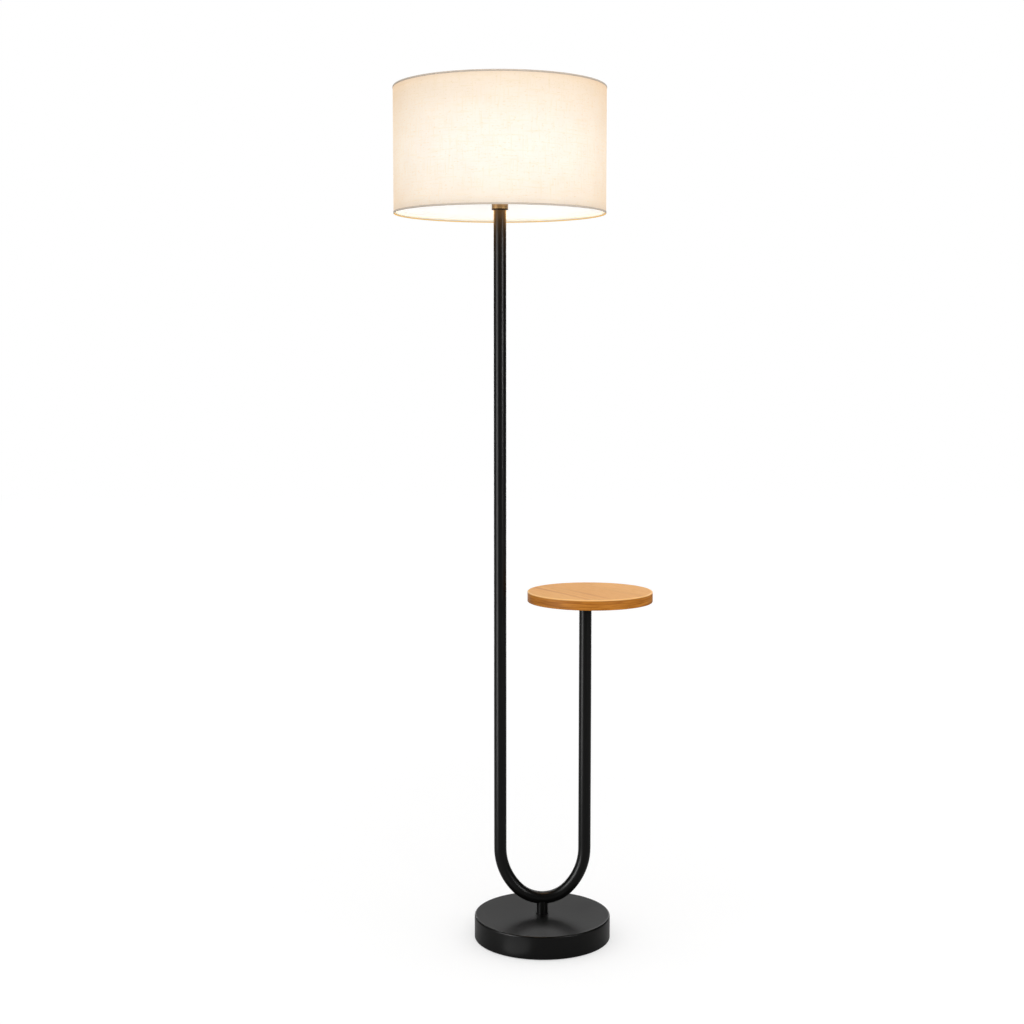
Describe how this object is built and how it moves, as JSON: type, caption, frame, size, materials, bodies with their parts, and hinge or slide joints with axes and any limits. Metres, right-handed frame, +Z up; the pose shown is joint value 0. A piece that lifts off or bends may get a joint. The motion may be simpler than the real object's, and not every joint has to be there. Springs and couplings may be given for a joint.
{
  "type": "floor lamp with side table",
  "caption": "Floor lamp on a round base: a U-shaped black tube carries a linen drum shade on one leg and a small round wooden table on the other.",
  "frame": {"origin": "centre of the round base, on the floor", "axes": "+Z up along the post; the post stands at -X and the table at +X; +Y is the rear, where the cord inlet is"},
  "size_m": [0.4508, 0.3658, 1.4972],
  "materials": {
    "black_powder": "satin black powder coat",
    "grey_iron": "raw casting",
    "dark_felt": "dense felt",
    "black_rubber": "matt",
    "zinc_steel": "zinc plated",
    "oak": "satin lacquer",
    "brass": "satin brass plate",
    "nickel": "nickel plate",
    "card": "plain",
    "brown_moulding": "moulded",
    "black_knob": "moulded",
    "lead_jacket": "matt",
    "frosted_globe": "frosted, lit",
    "cap_metal": "threaded",
    "cap_insulator": "gloss",
    "white_wire": "white enamel",
    "linen": "off-white linen, laminated, lit from inside",
    "linen_tape": "folded linen tape"
  },
  "bodies": {
    "stand": {"base_cover": "black_powder", "base_weight": "grey_iron", "base_pad": "dark_felt", "cord_gland": "black_rubber", "base_washer": "zinc_steel", "base_nut": "zinc_steel", "neck_nipple": "zinc_steel", "neck_ring": "black_powder", "neck_tube": "black_powder", "u_tube": "black_powder", "lower_coupler": "zinc_steel", "post_middle": "black_powder", "upper_coupler": "zinc_steel", "post_top": "black_powder", "post_insert": "zinc_steel", "leg_plug": "zinc_steel", "table_flange": "black_powder", "table_bolt": "zinc_steel", "table_screw_1": "zinc_steel", "table_screw_2": "zinc_steel", "table_screw_3": "zinc_steel", "table_screw_4": "zinc_steel", "table_top": "oak", "collar": "brass", "top_nipple": "zinc_steel", "harp_saddle": "brass", "ferrule_left": "brass", "ferrule_right": "brass", "harp": "brass", "socket_cap": "brass", "socket_shell": "brass", "socket_liner": "card", "socket_body": "brown_moulding", "screw_shell": "brass", "centre_contact": "brass", "terminal_screw_1": "brass", "terminal_screw_2": "nickel", "inner_lead": "lead_jacket", "lead_wire_1": "lead_jacket", "lead_wire_2": "lead_jacket"},
    "switch": {"switch_knob": "black_knob"},
    "bulb": {"bulb_globe": "frosted_globe", "bulb_cap": "cap_metal", "bulb_insulator": "cap_insulator", "bulb_contact": "nickel"},
    "shade": {"shade_spider": "white_wire", "shade_top_ring": "white_wire", "shade_bottom_ring": "white_wire", "shade_drum": "linen", "top_trim": "linen_tape", "bottom_trim": "linen_tape"},
    "finial": {"finial": "brass"}
  },
  "joints": [
    {"name": "switch_turn", "type": "hinge", "parent": "stand", "child": "switch", "pos_m": [-0.075, -0.026, 1.3255], "axis": [0, -1, 0], "continuous": true},
    {"name": "bulb_lift", "type": "slide", "parent": "stand", "child": "bulb", "axis": [0, 0, 1], "range_m": [0, 0.02]},
    {"name": "shade_turn", "type": "hinge", "parent": "stand", "child": "shade", "pos_m": [-0.075, 0, 1.4765], "axis": [0, 0, 1], "continuous": true},
    {"name": "finial_turn", "type": "hinge", "parent": "stand", "child": "finial", "pos_m": [-0.075, 0, 1.4777], "axis": [0, 0, 1], "continuous": true}
  ]
}
